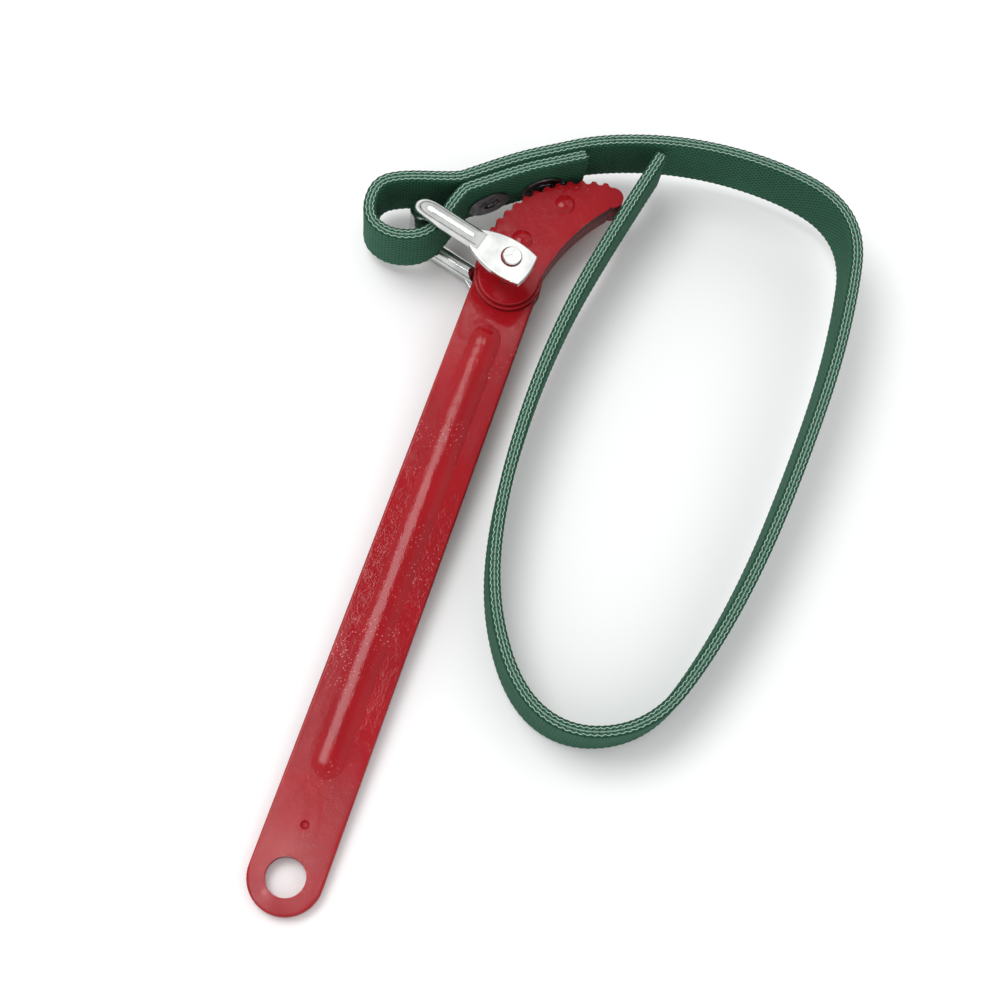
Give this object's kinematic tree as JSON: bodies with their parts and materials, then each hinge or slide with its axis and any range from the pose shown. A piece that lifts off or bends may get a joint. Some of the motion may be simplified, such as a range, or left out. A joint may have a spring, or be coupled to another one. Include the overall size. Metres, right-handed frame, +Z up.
{
  "type": "oil filter wrench",
  "caption": "Belt-type oil filter wrench: a flat handle ends in a toothed jaw, and a fabric belt on a swinging bail loops round a filter and is gripped against the teeth.",
  "frame": {"origin": "centre of the footprint of all but the loose belt, on the table", "axes": "+Y along the handle from the tail to the jaw, +Z up from the table, +X towards the side where the belt's loop lies"},
  "size_m": [0.1826, 0.3161, 0.0418],
  "materials": {
    "red_paint": "gloss red paint with a slight orange peel",
    "zinc_plate": "bright zinc plate",
    "green_webbing": "tightly woven dark green webbing, pale yarns at its edges",
    "washer_steel": "dark plated steel"
  },
  "bodies": {
    "handle": {"handle_bar": "red_paint", "jaw_plate_upper_inner": "red_paint", "jaw_plate_upper_outer": "red_paint", "jaw_plate_lower_inner": "red_paint", "jaw_plate_lower_outer": "red_paint", "jaw_rivet_tip": "red_paint", "jaw_rivet_root": "red_paint"},
    "bail": {"bail": "zinc_plate", "pivot_pin": "zinc_plate"},
    "belt": {"belt_eye": "green_webbing", "belt_loose": "green_webbing", "eyelet_rivet_eye": "washer_steel", "eyelet_rivet_end": "washer_steel", "washer_eye_jaw_side": "washer_steel", "washer_end_jaw_side": "washer_steel", "washer_eye_outer_side": "washer_steel", "washer_end_outer_side": "washer_steel"}
  },
  "joints": [
    {"name": "bail_swing", "type": "hinge", "parent": "handle", "child": "bail", "pos_m": [0.01403, 0.09052, 0.02067], "axis": [0, -0.0482, 0.9988], "range_deg": [0, 50], "deforming": ["belt_loose"]},
    {"name": "belt_swing", "type": "hinge", "parent": "bail", "child": "belt", "pos_m": [-0.0234, 0.09829, 0.02104], "axis": [0, -0.0482, 0.9988], "range_deg": [0, 65], "deforming": ["belt_loose"]}
  ]
}
